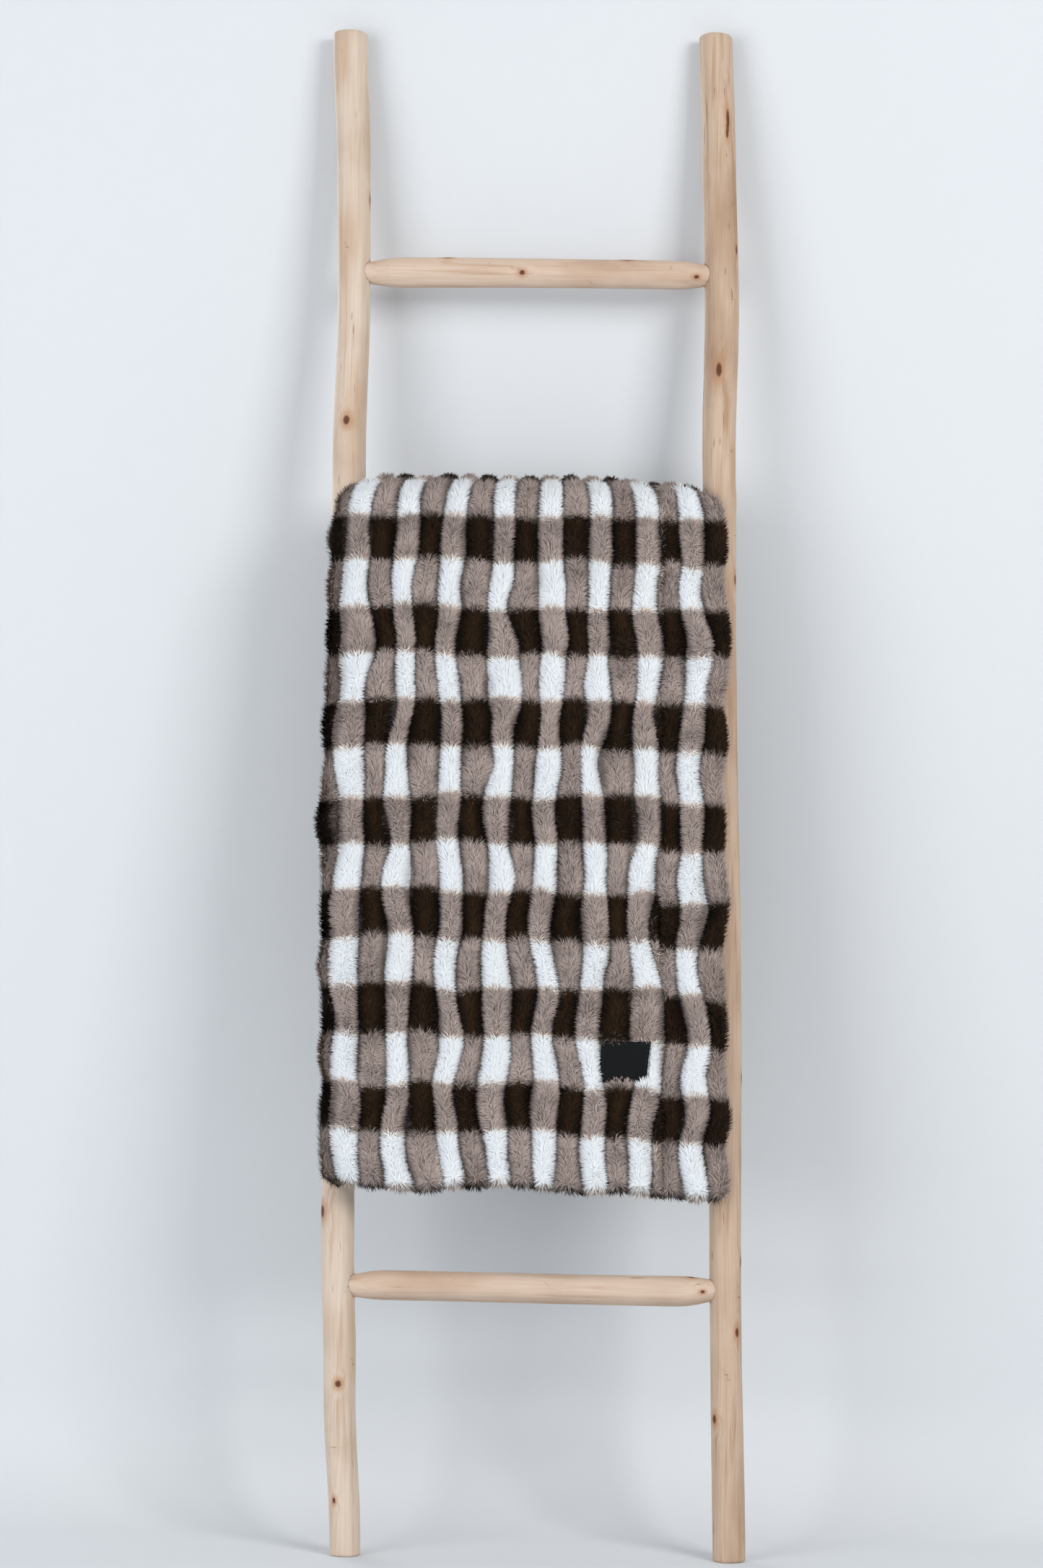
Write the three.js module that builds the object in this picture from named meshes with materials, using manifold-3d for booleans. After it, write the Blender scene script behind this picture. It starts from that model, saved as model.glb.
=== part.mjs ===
// A rustic leaning pole ladder with a letter-folded faux-fur throw hung over its second rung.
// Millimetres, +Z up, +X to the right, the ladder leaning back towards +Y.
// The origin is on the floor, at the middle of the object's footprint.

import * as THREE from 'three';
import { mergeVertices } from 'three/addons/utils/BufferGeometryUtils.js';
import Module from 'manifold-3d';

// ladder
const railLength = 1830;          // foot to top along the pole
const railTopDia = 41;
const railFootDia = 37;
const railSpacing = 445;          // centre to centre
const leanAngle = 9;              // degrees from upright, top towards the wall
const skewAngle = 1;              // degrees, both poles drift to the left going up
const rungCount = 5;
const lowestRung = 311;           // along the pole, foot to the lowest rung's centre
const topRungDrop = 299.8;        // along the pole, top end to the highest rung's centre
const rungDia = 35.5;
const tenonDia = 26.5;            // the whittled end of a rung
const tenonDepth = 28;
const taperLength = 41;           // from full thickness down to the tenon
const pegDia = 6;                 // wooden pin through each tenon, driven from the back
const pegFrontWall = 6;           // wood left in front of a pin
const pegProud = 0.6;
const footBevel = 2.5;
const topBevel = 1.5;
const wallFlatDepth = 5;          // planed off the back of each pole's top end
const facetDepth = 0.6;           // how far the shaving knife left a pole out of round
const swellDepth = 0.5;           // slow thick and thin along a pole
const rungSag = 1.2;              // how far a rung's middle line strays

// throw, folded in three and hung over a rung
const throwRung = 2;              // counted from the top
const foldedWidth = 458;
const sideBulge = 5;              // extra on each side, half way down the front
const bundleThickness = 40;       // three layers, pile and all
const topLayerThickness = 13;
const saddleThickness = 30;       // the same layers pressed on the rung
const frontDropLength = 786;
const backDropLength = 582;
const topLayerInset = 60;         // from the fold on the right to the top layer's free edge
const throwOffset = -7;           // the throw hangs a little left of the middle
const cornerRadius = 28;          // front outline

// label on the top layer
const labelWidth = 57;
const labelHeight = 48;
const labelThickness = 1.6;
const labelFromFreeEdge = 23;
const labelFromHem = 128;
const seamInset = 3;
const seamWidth = 1.2;
const seamHeight = 0.6;

// fits
const mortiseClearance = 0.3;     // round a tenon, on the radius
const mortiseBottomGap = 1;
const pegClearance = 0.3;
const pieceGap = 0.4;             // between pieces that only touch
const throwRungGap = 0.5;
const throwRailGap = 2;
const saddleSideGap = 6;

// fineness
const poleSides = 16;
const pegSides = 8;
const ringStep = 105;

const lean = THREE.MathUtils.degToRad(leanAngle);
const skew = THREE.MathUtils.degToRad(skewAngle);
const rungPitch = (railLength - lowestRung - topRungDrop) / (rungCount - 1);
const left = -1;
const right = 1;

// sideways bends of each pole: share of its length from the foot, and how far it strays in mm
const railBends = {
  [left]: [[0, 0], [0.11, -7], [0.2, -10], [0.45, -6], [0.7, 0], [0.83, 5], [0.9, 4], [1, 0]],
  [right]: [[0, 0], [0.15, -1], [0.35, 1], [0.55, -1], [0.7, 0], [0.83, 5], [0.92, 3], [1, 0]],
};

const wasm = await Module();
wasm.setup();

// ---- solids ----

function toSolid(geometry) {
  const bare = geometry.index ? geometry.toNonIndexed() : geometry.clone();
  bare.deleteAttribute('normal');
  bare.deleteAttribute('uv');
  const merged = mergeVertices(bare, 1e-4);
  const vertProperties = new Float32Array(merged.attributes.position.array);
  const triVerts = new Uint32Array(merged.index.array);
  return new wasm.Manifold(new wasm.Mesh({ numProp: 3, vertProperties, triVerts }));
}

function toGeometry(solid) {
  const mesh = solid.getMesh();
  const geometry = new THREE.BufferGeometry();
  geometry.setAttribute('position', new THREE.BufferAttribute(new Float32Array(mesh.vertProperties), 3));
  geometry.setIndex(new THREE.BufferAttribute(new Uint32Array(mesh.triVerts), 1));
  geometry.computeVertexNormals();
  return geometry;
}

function roundBar(radius, length, sides) {
  const bar = new THREE.CylinderGeometry(radius, radius, length, sides);
  return bar;
}

// A closed pole: a cylinder whose rings stand at the given stations and whose points place() puts.
function pole(stations, sides, place) {
  const geometry = new THREE.CylinderGeometry(1, 1, 1, sides, stations.length - 1);
  const position = geometry.attributes.position;
  for (let i = 0; i < position.count; i += 1) {
    const ring = Math.round((position.getY(i) + 0.5) * (stations.length - 1));
    const reach = Math.min(1, Math.hypot(position.getX(i), position.getZ(i)));
    const angle = Math.atan2(position.getX(i), -position.getZ(i));
    const point = place(stations[ring], angle, reach < 0.5 ? 0 : 1);
    position.setXYZ(i, point.x, point.y, point.z);
  }
  return geometry;
}

function stationsBetween(from, to, step) {
  const count = Math.max(1, Math.round((to - from) / step));
  return Array.from({ length: count + 1 }, (_, i) => from + ((to - from) * i) / count);
}

// A smooth value through [where, value] pairs.
function through(pairs, where) {
  const next = pairs.findIndex(([at]) => at >= where);
  if (next < 1) {
    return pairs[next < 0 ? pairs.length - 1 : 0][1];
  }
  const [fromAt, fromValue] = pairs[next - 1];
  const [toAt, toValue] = pairs[next];
  const share = THREE.MathUtils.smootherstep((where - fromAt) / (toAt - fromAt), 0, 1);
  return THREE.MathUtils.lerp(fromValue, toValue, share);
}

// ---- ladder, in its own upright frame: +Z along the poles, -Y the front ----

function rungHeight(rung) {
  return lowestRung + rungPitch * (rungCount - rung);
}

function railRadius(height) {
  return THREE.MathUtils.lerp(railFootDia, railTopDia, height / railLength) / 2;
}

function railCentre(side, height) {
  const drift = (railLength / 2 - height) * Math.tan(skew);
  return (side * railSpacing) / 2 + drift + through(railBends[side], height / railLength);
}

function railFace(side, height) {
  return railCentre(side, height) - side * railRadius(height);
}

// The hand-shaved section is not quite round.
function shavedRadius(radius, height, angle, phase) {
  const coarse = 0.6 * Math.cos(5 * angle + phase);
  const fine = 0.4 * Math.cos(3 * angle - height / 160 + phase);
  const swell = swellDepth * Math.sin(height / 118 + phase * 1.7);
  return radius + facetDepth * (coarse + fine) + swell;
}

function railBody(side) {
  const shoulders = stationsBetween(60, railLength - 70, ringStep);
  const foot = [0, footBevel, 25];
  const top = [railLength - topBevel, railLength];
  const place = (height, angle, reach) => {
    const bevel = height === 0 || height === railLength ? topBevel : 0;
    const radius = reach * (shavedRadius(railRadius(height), height, angle, side) - bevel);
    const x = radius * Math.sin(angle);
    const y = radius * Math.cos(angle);
    const level = 1 - THREE.MathUtils.smoothstep(height, 0, 60);
    const centre = railCentre(side, height);
    return new THREE.Vector3(centre + x, y, height + y * Math.tan(lean) * level);
  };
  return toSolid(pole([...foot, ...shoulders, ...top], poleSides, place));
}

function mortise(side, height) {
  const overshoot = 12;
  const length = tenonDepth + mortiseBottomGap + overshoot;
  const bar = roundBar(tenonDia / 2 + mortiseClearance, length, poleSides);
  bar.rotateZ(Math.PI / 2);
  const inner = railFace(side, height) + side * (tenonDepth + mortiseBottomGap);
  bar.translate(inner - (side * length) / 2, 0, height);
  return toSolid(bar);
}

// A pin's own bar, or with a clearance the hole for it.
function pegBar(side, height, clearance) {
  const radius = railRadius(height);
  const back = radius + pegProud + (clearance ? pegDia : 0);
  const front = -radius + pegFrontWall - clearance;
  const bar = roundBar(pegDia / 2 + clearance, back - front, pegSides);
  bar.translate(railCentre(side, height), (back + front) / 2, height);
  return toSolid(bar);
}

// The wedge that is planed off, so that the top end lies flat on an upright wall.
function wallWedge(side) {
  const size = 200;
  const wedge = new THREE.BoxGeometry(size, size, size);
  wedge.translate(0, size / 2, 0);
  wedge.rotateX(lean);
  const depth = railTopDia / 2 - wallFlatDepth;
  wedge.translate(railCentre(side, railLength), depth, railLength);
  return toSolid(wedge);
}

function rail(side) {
  let solid = railBody(side).subtract(wallWedge(side));
  for (let rung = 1; rung <= rungCount; rung += 1) {
    const height = rungHeight(rung);
    solid = solid.subtract(mortise(side, height));
    solid = solid.subtract(pegBar(side, height, pegClearance));
  }
  return solid;
}

function rungBody(rung) {
  const height = rungHeight(rung);
  const from = railFace(left, height) - tenonDepth;
  const to = railFace(right, height) + tenonDepth;
  const taper = [0, 0.2, 0.45, 0.7, 1].map((share) => share * taperLength);
  const leftEnd = taper.map((run) => from + tenonDepth + run);
  const rightEnd = taper.map((run) => to - tenonDepth - run).reverse();
  const middle = stationsBetween(leftEnd.at(-1), rightEnd[0], ringStep).slice(1, -1);
  const stations = [from, from + topBevel, ...leftEnd, ...middle, ...rightEnd, to - topBevel, to];
  const place = (x, angle, reach) => {
    const inward = Math.min(x - from, to - x) - tenonDepth;
    const fullness = Math.sin((Math.PI / 2) * THREE.MathUtils.clamp(inward / taperLength, 0, 1));
    const shaved = shavedRadius(rungDia / 2, x, angle, rung * 2.1);
    const bevel = x === from || x === to ? topBevel : 0;
    const radius = reach * (THREE.MathUtils.lerp(tenonDia / 2, shaved, fullness) - bevel);
    const sag = rungSag * fullness * Math.sin(rung * 1.9 + x / 150);
    return new THREE.Vector3(x, radius * Math.sin(angle), height + sag + radius * Math.cos(angle));
  };
  return toSolid(pole(stations, poleSides, place));
}

function rungSolid(rung) {
  const height = rungHeight(rung);
  const pinned = rungBody(rung).subtract(pegBar(left, height, pegClearance));
  return pinned.subtract(pegBar(right, height, pegClearance));
}

// ---- throw ----

const saddleInner = rungDia / 2 + facetDepth + swellDepth + rungSag + throwRungGap;
const saddleOuter = saddleInner + saddleThickness;
const hingeDrop = bundleThickness / 2 + pieceGap;
const throwHeight = rungHeight(throwRung);
const rungCentre = new THREE.Vector3(0, throwHeight * Math.sin(lean), throwHeight * Math.cos(lean));
const railFront = Math.max(railTopDia, railFootDia) / 2 + facetDepth;
const layerFace = bundleThickness / 2 - topLayerThickness;

function saddleSpan() {
  const from = railFace(left, throwHeight) + saddleSideGap;
  const to = railFace(right, throwHeight) - saddleSideGap;
  return { centre: (from + to) / 2, width: to - from };
}

// A rounded rectangle about the origin.
function roundedRectangle(width, height, radius) {
  const shape = new THREE.Shape();
  const x = width / 2;
  const y = height / 2;
  const r = Math.min(radius, x * 0.98, y * 0.98);
  shape.moveTo(-x + r, -y);
  shape.lineTo(x - r, -y);
  shape.absarc(x - r, -y + r, r, -Math.PI / 2, 0);
  shape.lineTo(x, y - r);
  shape.absarc(x - r, y - r, r, 0, Math.PI / 2);
  shape.lineTo(-x + r, y);
  shape.absarc(-x + r, y - r, r, Math.PI / 2, Math.PI);
  shape.lineTo(-x, -y + r);
  shape.absarc(-x + r, -y + r, r, Math.PI, 1.5 * Math.PI);
  return shape;
}

// Extrudes a shape drawn in two named directions along the third, centred on it.
function extruded(shape, across, upwards, depth, curveSegments) {
  const geometry = new THREE.ExtrudeGeometry(shape, { depth, bevelEnabled: false, curveSegments });
  geometry.translate(0, 0, -depth / 2);
  const along = new THREE.Vector3().crossVectors(across, upwards);
  return geometry.applyMatrix4(new THREE.Matrix4().makeBasis(across, upwards, along));
}

const xAxis = new THREE.Vector3(1, 0, 0);
const yAxis = new THREE.Vector3(0, 1, 0);
const zAxis = new THREE.Vector3(0, 0, 1);

// The arch over the rung: a ring about the rung, cut off above both drops.
function saddle() {
  const { centre, width } = saddleSpan();
  const profile = roundedRectangle(saddleThickness, width, 14).getPoints(4);
  const ring = new THREE.LatheGeometry(profile.map((p) => new THREE.Vector2(
    saddleInner + saddleThickness / 2 + p.x, p.y)), 40);
  ring.rotateZ(-Math.PI / 2);
  const size = 600;
  const backKeep = new THREE.BoxGeometry(size, size, size);
  backKeep.translate(0, 0, size / 2);
  const frontKeep = backKeep.clone();
  frontKeep.rotateX(-lean);
  let solid = toSolid(ring).intersect(toSolid(backKeep)).intersect(toSolid(frontKeep));
  solid = solid.translate([centre, 0, 0]);
  return solid;
}

// Side view of a drop about its hinge: a half-round head, and a rounded hem.
function dropProfile(length) {
  const half = bundleThickness / 2;
  const shape = new THREE.Shape();
  shape.moveTo(-half, -length + half);
  shape.absarc(0, -length + half, half, Math.PI, 2 * Math.PI);
  shape.lineTo(half, 0);
  shape.absarc(0, 0, half, 0, Math.PI);
  return shape;
}

// Front view of the front drop: round corners, and sides that belly out a little.
function frontOutline() {
  const half = foldedWidth / 2;
  const top = bundleThickness / 2;
  const bottom = -frontDropLength;
  const r = cornerRadius;
  const middle = (top + bottom) / 2;
  const shape = new THREE.Shape();
  shape.moveTo(-half + r, bottom);
  shape.lineTo(half - r, bottom);
  shape.absarc(half - r, bottom + r, r, -Math.PI / 2, 0);
  shape.quadraticCurveTo(half + 2 * sideBulge, middle, half, top - r);
  shape.absarc(half - r, top - r, r, 0, Math.PI / 2);
  shape.lineTo(-half + r, top);
  shape.absarc(-half + r, top - r, r, Math.PI / 2, Math.PI);
  shape.quadraticCurveTo(-half - 2 * sideBulge, middle, -half, bottom + r);
  shape.absarc(-half + r, bottom + r, r, Math.PI, 1.5 * Math.PI);
  return shape;
}

// A box for cutting, given by its corners.
function block(low, high) {
  const size = new THREE.Vector3().subVectors(high, low);
  const geometry = new THREE.BoxGeometry(size.x, size.y, size.z);
  const centre = new THREE.Vector3().addVectors(low, high).multiplyScalar(0.5);
  geometry.translate(centre.x, centre.y, centre.z);
  return toSolid(geometry);
}

function frontBundle() {
  const deep = 4 * bundleThickness;
  const wide = foldedWidth + 8 * sideBulge;
  const side = extruded(dropProfile(frontDropLength), yAxis, zAxis, wide, 8);
  const face = extruded(frontOutline(), xAxis, zAxis, deep, 8);
  const plan = roundedRectangle(foldedWidth + 2 * sideBulge, bundleThickness, bundleThickness / 2);
  const edges = extruded(plan, xAxis, yAxis, 3 * frontDropLength, 5);
  return toSolid(side).intersect(toSolid(face)).intersect(toSolid(edges));
}

// In the front drop's frame the hinge is the origin and -Y is the front.
const topLayerEdge = foldedWidth / 2 - topLayerInset;

function topLayerSpace(grow) {
  const far = 2000;
  const low = new THREE.Vector3(-far, -far, -far);
  const high = new THREE.Vector3(topLayerEdge + grow, -layerFace + grow, far);
  return block(low, high);
}

function frontOuter() {
  return frontBundle().intersect(topLayerSpace(0));
}

// The two layers underneath: all that the top layer leaves, no deeper than its back.
function frontInner() {
  const far = 2000;
  const low = new THREE.Vector3(-far, -layerFace + pieceGap, -far);
  const high = new THREE.Vector3(far, far, far);
  return frontBundle().intersect(block(low, high));
}

function backDrop() {
  const { centre, width } = saddleSpan();
  const side = extruded(dropProfile(backDropLength), yAxis, zAxis, 2 * width, 8);
  const plan = roundedRectangle(width, bundleThickness, bundleThickness / 2);
  const edges = extruded(plan, xAxis, yAxis, 3 * backDropLength, 5);
  return toSolid(side).intersect(toSolid(edges)).translate([centre, 0, 0]);
}

function labelPlate() {
  const plate = roundedRectangle(labelWidth, labelHeight, 1.5);
  return toSolid(extruded(plate, xAxis, zAxis, labelThickness, 3));
}

function labelSeam() {
  const frame = roundedRectangle(labelWidth - 2 * seamInset, labelHeight - 2 * seamInset, 1);
  const inset = 2 * (seamInset + seamWidth);
  frame.holes.push(roundedRectangle(labelWidth - inset, labelHeight - inset, 0.6));
  return toSolid(extruded(frame, xAxis, zAxis, seamHeight, 3));
}

// ---- materials ----

function finish(color, roughness) {
  return new THREE.MeshStandardMaterial({ color, roughness, metalness: 0 });
}

const finishes = {
  rail: () => finish(0xdec4aa, 0.62),
  rung: () => finish(0xe3c39f, 0.6),
  peg: () => finish(0xc9a37c, 0.7),
  fur: () => finish(0x96857a, 0.95),
  label: () => finish(0x11161d, 0.75),
  seam: () => finish(0x20262e, 0.8),
};

function named(name, solid, material) {
  const mesh = new THREE.Mesh(toGeometry(solid), material);
  mesh.name = name;
  return mesh;
}

// ---- assembly ----

function ladder() {
  const group = new THREE.Group();
  group.rotation.x = -lean;
  group.add(named('left_rail', rail(left), finishes.rail()));
  group.add(named('right_rail', rail(right), finishes.rail()));
  for (let rung = 1; rung <= rungCount; rung += 1) {
    const height = rungHeight(rung);
    group.add(named(`rung_${rung}`, rungSolid(rung), finishes.rung()));
    group.add(named(`peg_${rung}_left`, pegBar(left, height, 0), finishes.peg()));
    group.add(named(`peg_${rung}_right`, pegBar(right, height, 0), finishes.peg()));
  }
  return group;
}

function throwSaddle() {
  const mesh = named('throw_saddle', saddle(), finishes.fur());
  mesh.position.copy(rungCentre);
  return mesh;
}

function throwBack() {
  const mesh = named('throw_back_drop', backDrop(), finishes.fur());
  const hinge = new THREE.Vector3(0, saddleInner + bundleThickness / 2, -hingeDrop);
  mesh.position.copy(rungCentre).add(hinge);
  return mesh;
}

function throwFront() {
  const group = new THREE.Group();
  const out = railFront + throwRailGap + bundleThickness / 2;
  const hinge = new THREE.Vector3(throwOffset, -out, throwHeight - hingeDrop);
  hinge.applyAxisAngle(xAxis, -lean);
  group.position.copy(hinge);
  group.rotation.x = -lean;
  group.add(named('throw_front_inner', frontInner(), finishes.fur()));
  group.add(named('throw_front_outer', frontOuter(), finishes.fur()));
  const label = named('label', labelPlate(), finishes.label());
  const seam = named('label_stitching', labelSeam(), finishes.seam());
  const x = topLayerEdge - labelFromFreeEdge - labelWidth / 2;
  const z = -frontDropLength + labelFromHem + labelHeight / 2;
  const face = -bundleThickness / 2 - pieceGap;
  label.position.set(x, face - labelThickness / 2, z);
  seam.position.set(x, face - labelThickness - pieceGap - seamHeight / 2, z);
  group.add(label, seam);
  return group;
}

// Moves the whole object so that its origin is on the floor under the middle of its box.
function centred(...parts) {
  const object = new THREE.Group();
  object.add(...parts);
  const box = new THREE.Box3().setFromObject(object, true);
  const centre = box.getCenter(new THREE.Vector3());
  object.position.set(-centre.x, -centre.y, 0);
  return object;
}

export default centred(ladder(), throwSaddle(), throwBack(), throwFront());
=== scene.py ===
import math

import bpy
import numpy as np
from mathutils import Matrix, Vector


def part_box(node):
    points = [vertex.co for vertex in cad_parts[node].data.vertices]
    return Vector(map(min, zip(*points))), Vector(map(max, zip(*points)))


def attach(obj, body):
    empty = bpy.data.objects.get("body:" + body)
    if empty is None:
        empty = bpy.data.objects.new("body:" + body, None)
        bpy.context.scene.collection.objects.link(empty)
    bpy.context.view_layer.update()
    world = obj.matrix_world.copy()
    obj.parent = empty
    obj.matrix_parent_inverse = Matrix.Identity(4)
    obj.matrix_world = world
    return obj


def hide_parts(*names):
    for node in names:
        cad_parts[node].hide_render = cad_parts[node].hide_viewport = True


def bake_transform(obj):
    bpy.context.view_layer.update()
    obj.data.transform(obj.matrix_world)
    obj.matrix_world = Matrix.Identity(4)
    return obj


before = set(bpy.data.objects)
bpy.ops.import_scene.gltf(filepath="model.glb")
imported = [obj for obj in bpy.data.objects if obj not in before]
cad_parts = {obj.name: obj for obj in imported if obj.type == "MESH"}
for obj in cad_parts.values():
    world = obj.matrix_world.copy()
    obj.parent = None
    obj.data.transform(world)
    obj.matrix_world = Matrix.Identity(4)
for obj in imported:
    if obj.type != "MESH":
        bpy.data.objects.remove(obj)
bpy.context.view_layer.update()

milli = 0.001            # sizes below are in millimetres unless a name says otherwise
draw = np.random.default_rng(41)

ladder = dict(
    lean=math.radians(9.0),
    skew=math.radians(1.0),
    footX=0.878,         # where the ladder's own frame stands in the part's frame
    footY=-141.54,
    railLength=1830.0,
    footRadius=18.5,
    topRadius=20.5,
    spacing=445.0,
    lowestRung=311.0,
    pitch=304.8,
    rungRadius=17.75,
    tenonRadius=13.25,
    tenonDepth=28.0,
    taper=41.0,
    facet=0.6,
    swell=0.5,
    sag=1.2,
    wallFace=160.047,
    pegRadius=3.0,
    pegFrontWall=6.0,
    mortisePlay=0.3,
    mortiseBottomGap=1.0,
)
railBends = {
    -1: ((0, 0.11, 0.2, 0.45, 0.7, 0.83, 0.9, 1), (0, -7, -10, -6, 0, 5, 4, 0)),
    1: ((0, 0.15, 0.35, 0.55, 0.7, 0.83, 0.92, 1), (0, -1, 1, -1, 0, 5, 3, 0)),
}
lean = ladder["lean"]
outward = np.array((0.0, -math.cos(lean), math.sin(lean)))     # square to the ladder, into the room
alongPole = np.array((0.0, math.sin(lean), math.cos(lean)))


def ease(low, high, value):
    share = np.clip((value - low) / (high - low), 0.0, 1.0)
    return share * share * (3.0 - 2.0 * share)


latticeSize = 256
lattice = draw.uniform(-1.0, 1.0, (latticeSize, latticeSize))


def ripple(x, y, layer=0):
    # smooth unevenness between -1 and 1, about one swing for each unit of x and y
    x, y = np.broadcast_arrays(np.asarray(x, float), np.asarray(y, float))
    x = x + 17.31 * layer
    y = y + 5.77 * layer
    column = np.floor(x).astype(int)
    row = np.floor(y).astype(int)
    right = x - column
    up = y - row
    right = right * right * (3.0 - 2.0 * right)
    up = up * up * (3.0 - 2.0 * up)
    here, there = column % latticeSize, (column + 1) % latticeSize
    low, high = row % latticeSize, (row + 1) % latticeSize
    bottom = lattice[here, low] * (1 - right) + lattice[there, low] * right
    top = lattice[here, high] * (1 - right) + lattice[there, high] * right
    return bottom * (1 - up) + top * up


def buildMesh(name, points, faces, material, smooth=True):
    # points in millimetres; faces all with the same number of corners, or a list of such arrays
    groups = faces if isinstance(faces, list) else [faces]
    mesh = bpy.data.meshes.new(name)
    mesh.vertices.add(len(points))
    mesh.vertices.foreach_set("co", (np.asarray(points) * milli).astype(np.float32).ravel())
    corners = np.concatenate([group.ravel() for group in groups]).astype(np.int32)
    sizes = np.concatenate([np.full(len(group), group.shape[1]) for group in groups])
    starts = np.concatenate(([0], np.cumsum(sizes)[:-1])).astype(np.int32)
    mesh.loops.add(len(corners))
    mesh.loops.foreach_set("vertex_index", corners)
    mesh.polygons.add(len(sizes))
    mesh.polygons.foreach_set("loop_start", starts)
    mesh.polygons.foreach_set("use_smooth", np.full(len(sizes), smooth))
    mesh.update(calc_edges=True)
    mesh.materials.append(material)
    piece = bpy.data.objects.new(name, mesh)
    bpy.context.scene.collection.objects.link(piece)
    return piece


def addMap(piece, name, perPoint):
    # a UV map from one pair of numbers for each point
    mesh = piece.data
    corner = np.zeros(len(mesh.loops), np.int32)
    mesh.loops.foreach_get("vertex_index", corner)
    layer = mesh.uv_layers.new(name=name)
    layer.data.foreach_set("uv", np.asarray(perPoint)[corner].astype(np.float32).ravel())


def gridFaces(rows, columns, closed=False, first=0):
    row = np.arange(rows - 1)[:, None]
    column = np.arange(columns if closed else columns - 1)[None, :]
    after = (column + 1) % columns
    a = row * columns + column
    b = row * columns + after
    c = (row + 1) * columns + after
    d = (row + 1) * columns + column
    return np.stack([a, b, c, d], -1).reshape(-1, 4) + first


def rimFaces(front, back):
    # joins two equal closed loops of point numbers
    ahead = np.roll(front, -1)
    behind = np.roll(back, -1)
    return np.stack([front, back, behind, ahead], -1)


def gridLoop(rows, columns, first=0):
    top = np.arange(columns)
    rightSide = np.arange(1, rows) * columns + columns - 1
    bottom = (rows - 1) * columns + np.arange(columns - 2, -1, -1)
    leftSide = np.arange(rows - 2, 0, -1) * columns
    return np.concatenate([top, rightSide, bottom, leftSide]) + first


def plug(tree, socket, value):
    if isinstance(value, bpy.types.NodeSocket):
        tree.links.new(value, socket)
    else:
        socket.default_value = value


def put(tree, kind, inputs=None, **fields):
    node = tree.nodes.new(kind)
    for field, value in fields.items():
        setattr(node, field, value)
    for name, value in (inputs or {}).items():
        plug(tree, node.inputs[name], value)
    return node


def calc(tree, operation, first, second=0.5, third=0.0):
    node = put(tree, "ShaderNodeMath", {0: first, 1: second}, operation=operation)
    if operation in ("MULTIPLY_ADD", "PINGPONG"):
        plug(tree, node.inputs[2], third)
    return node.outputs[0]


def spread(tree, value, fromLow, fromHigh, toLow=0.0, toHigh=1.0, smooth=True):
    kind = "SMOOTHSTEP" if smooth else "LINEAR"
    sockets = {"Value": value, "From Min": fromLow, "From Max": fromHigh}
    sockets.update({"To Min": toLow, "To Max": toHigh})
    return put(tree, "ShaderNodeMapRange", sockets, interpolation_type=kind).outputs[0]


def mixColour(tree, share, first, second, blend="MIX"):
    node = put(tree, "ShaderNodeMix", data_type="RGBA", blend_type=blend)
    plug(tree, node.inputs[0], share)
    plug(tree, node.inputs[6], first)
    plug(tree, node.inputs[7], second)
    return node.outputs[2]


def noise(tree, vector, scale, detail=2.0, roughness=0.5, distortion=0.0):
    sockets = {"Vector": vector, "Scale": scale, "Detail": detail, "Roughness": roughness}
    node = put(tree, "ShaderNodeTexNoise", sockets)
    node.inputs["Distortion"].default_value = distortion
    return node.outputs["Fac"]


def uvMap(tree, name):
    return put(tree, "ShaderNodeUVMap", uv_map=name).outputs[0]


def addRelief(tree, shader, height, strength, depth):
    relief = put(tree, "ShaderNodeBump", {"Height": height, "Strength": strength, "Distance": depth})
    plug(tree, shader.inputs["Normal"], relief.outputs[0])


def vectorMath(tree, operation, sockets):
    return put(tree, "ShaderNodeVectorMath", sockets, operation=operation).outputs


def stretched(tree, vector, scale):
    return vectorMath(tree, "MULTIPLY", {0: vector, 1: scale})[0]


def tint(red, green, blue):
    # an everyday 0-255 colour as the renderer's linear one
    shares = [channel / 255.0 for channel in (red, green, blue)]
    linear = [c / 12.92 if c <= 0.04045 else ((c + 0.055) / 1.055) ** 2.4 for c in shares]
    return (*linear, 1.0)


def startGroup(name, inputs, outputs):
    tree = bpy.data.node_groups.new(name, "ShaderNodeTree")
    for label, (kind, value) in inputs.items():
        socket = tree.interface.new_socket(label, in_out="INPUT", socket_type="NodeSocket" + kind)
        if value is not None:
            socket.default_value = value
    for label, kind in outputs.items():
        tree.interface.new_socket(label, in_out="OUTPUT", socket_type="NodeSocket" + kind)
    entry = tree.nodes.new("NodeGroupInput").outputs
    leave = tree.nodes.new("NodeGroupOutput").inputs
    return tree, entry, leave


def startMaterial(name):
    material = bpy.data.materials.new(name)
    material.use_nodes = True
    tree = material.node_tree
    return material, tree, tree.nodes["Principled BSDF"]


def useGroup(tree, group, inputs):
    node = put(tree, "ShaderNodeGroup", node_tree=group)
    for name, value in inputs.items():
        plug(tree, node.inputs[name], value)
    return node.outputs


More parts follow.
